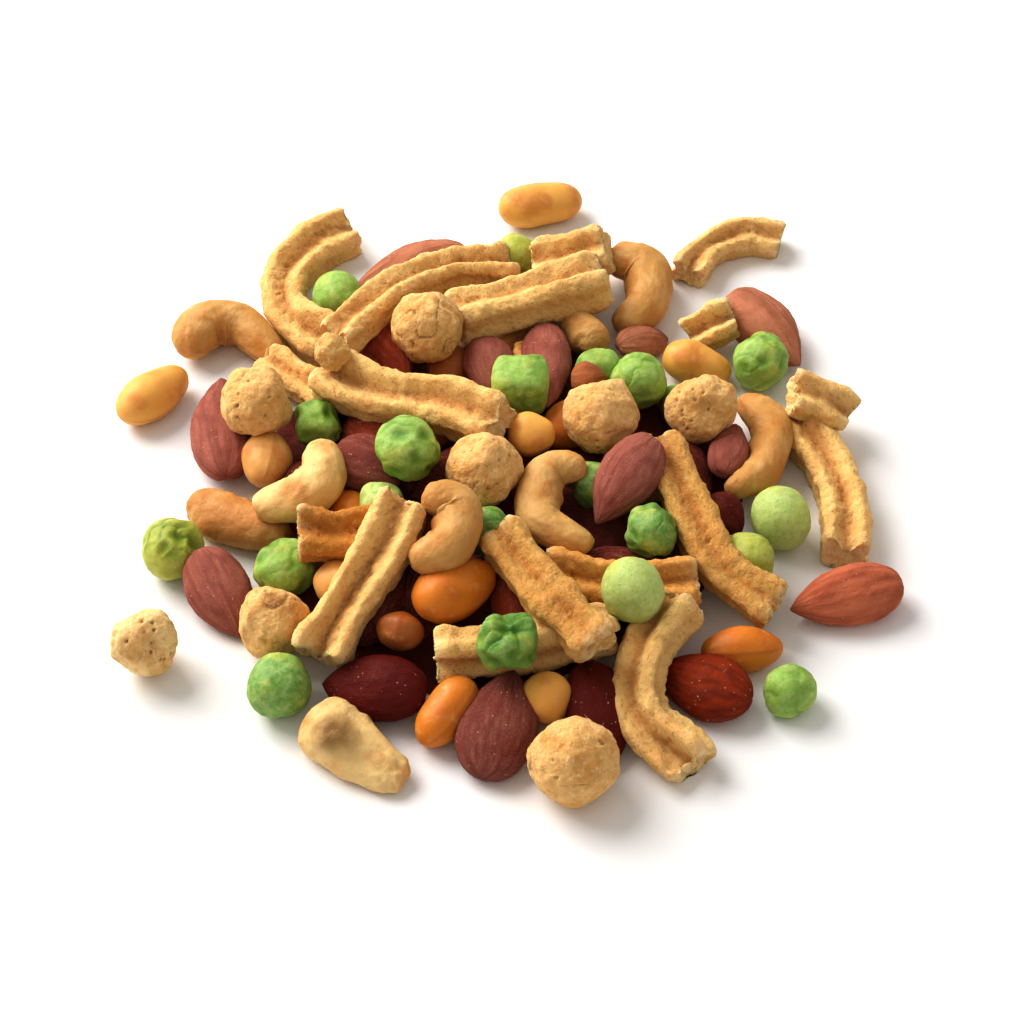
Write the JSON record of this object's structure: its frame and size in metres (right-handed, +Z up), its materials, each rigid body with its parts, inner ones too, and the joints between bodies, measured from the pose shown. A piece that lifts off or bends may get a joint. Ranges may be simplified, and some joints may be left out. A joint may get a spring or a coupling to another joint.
{
  "type": "heap of mixed nuts and savoury snack pieces",
  "caption": "Loose low heap of baked snack sticks, coated peanuts, roasted green peas, almonds, cashews and peanuts, lying as poured out, with stray pieces beside it.",
  "frame": {"origin": "on the surface that the heap lies on, under the middle of everything that lies there", "axes": "+Z up, +X to the right and +Y to the back, as seen from the side that the picture shows"},
  "size_m": [0.1536, 0.1658, 0.025],
  "materials": {
    "snack_mix": "matte, dusty and finely rough; golden baked and coated pieces, green peas, brown almonds and pale nuts together",
    "baked_stick": "matte golden tan, finely pitted and speckled",
    "coated_peanut": "matte pale golden crumb, rough and pitted",
    "roasted_pea": "dry wrinkled green skin with a pale powdery bloom and a soft sheen",
    "almond_skin": "reddish brown grooved skin, dusty, with a soft sheen and salt specks",
    "cashew": "smooth pale cream to toasted tan, satin",
    "peanut": "smooth roasted orange tan with a soft oily sheen"
  },
  "bodies": {
    "root": {"heap": "snack_mix", "peanut_left": "peanut", "peanut_back": "peanut", "stick_back_right": "baked_stick", "almond_right": "almond_skin", "pea_right": "roasted_pea", "ball_left": "coated_peanut", "pea_front_left": "roasted_pea", "cashew_front": "cashew"}
  },
  "joints": []
}
